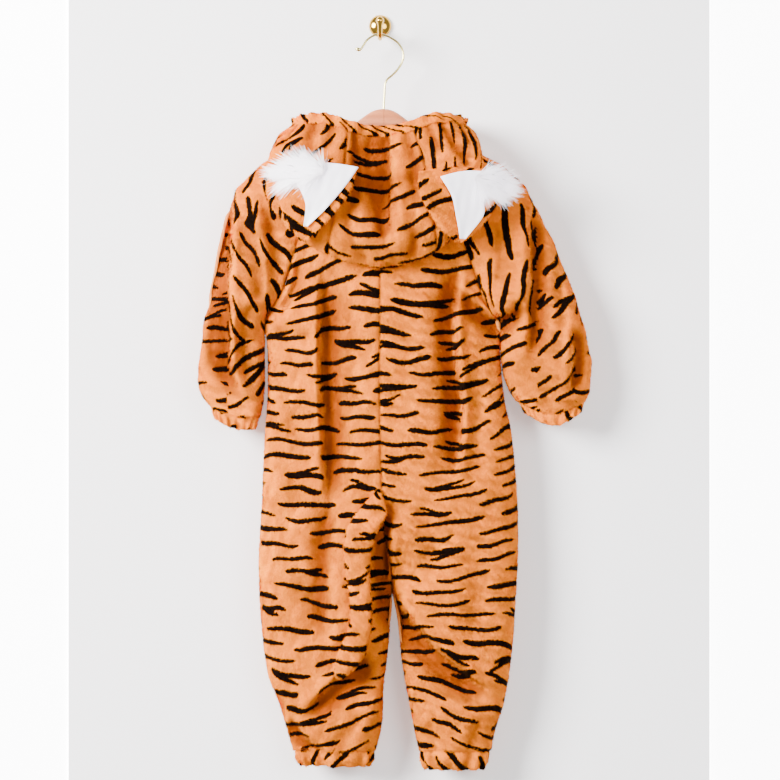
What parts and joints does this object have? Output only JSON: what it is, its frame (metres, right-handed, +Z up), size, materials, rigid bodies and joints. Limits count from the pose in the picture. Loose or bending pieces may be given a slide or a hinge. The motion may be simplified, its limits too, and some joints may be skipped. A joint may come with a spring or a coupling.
{
  "type": "tiger costume on a wooden clothes hanger and wall hook",
  "caption": "Child's hooded tiger jumpsuit in striped plush with ears and tail, hanging by its shoulders on a wooden hanger from a brass wall hook.",
  "frame": {"origin": "centre of the wall plate's flat back face, where it meets the wall", "axes": "+Z up, +Y into the wall, +X to the right as seen from in front of the wall, with the garment's back towards -Y"},
  "size_m": [0.496, 0.1344, 0.9545],
  "materials": {
    "tiger_plush": "short-pile plush printed with black tiger stripes",
    "satin": "smooth white satin",
    "white_fur": "long white faux fur",
    "beech": "smooth satin varnish",
    "wire": "polished pale brass plating",
    "brass": "polished"
  },
  "bodies": {
    "root": {"back_left": "tiger_plush", "back_right": "tiger_plush", "front_left": "tiger_plush", "front_right": "tiger_plush", "front_placket": "tiger_plush", "sleeve_left": "tiger_plush", "sleeve_right": "tiger_plush", "cuff_left": "tiger_plush", "cuff_right": "tiger_plush", "ankle_left": "tiger_plush", "ankle_right": "tiger_plush", "hood_centre": "tiger_plush", "hood_side_left": "tiger_plush", "hood_under_left": "tiger_plush", "hood_side_right": "tiger_plush", "hood_under_right": "tiger_plush", "hood_edge": "tiger_plush", "ear_left": "tiger_plush", "ear_right": "tiger_plush", "tail": "tiger_plush", "ear_lining_left": "satin", "ear_lining_right": "satin", "ear_fur_left": "white_fur", "ear_fur_right": "white_fur", "hanger_wood": "beech", "hanger_hook": "wire", "wall_hook": "brass"}
  },
  "joints": []
}
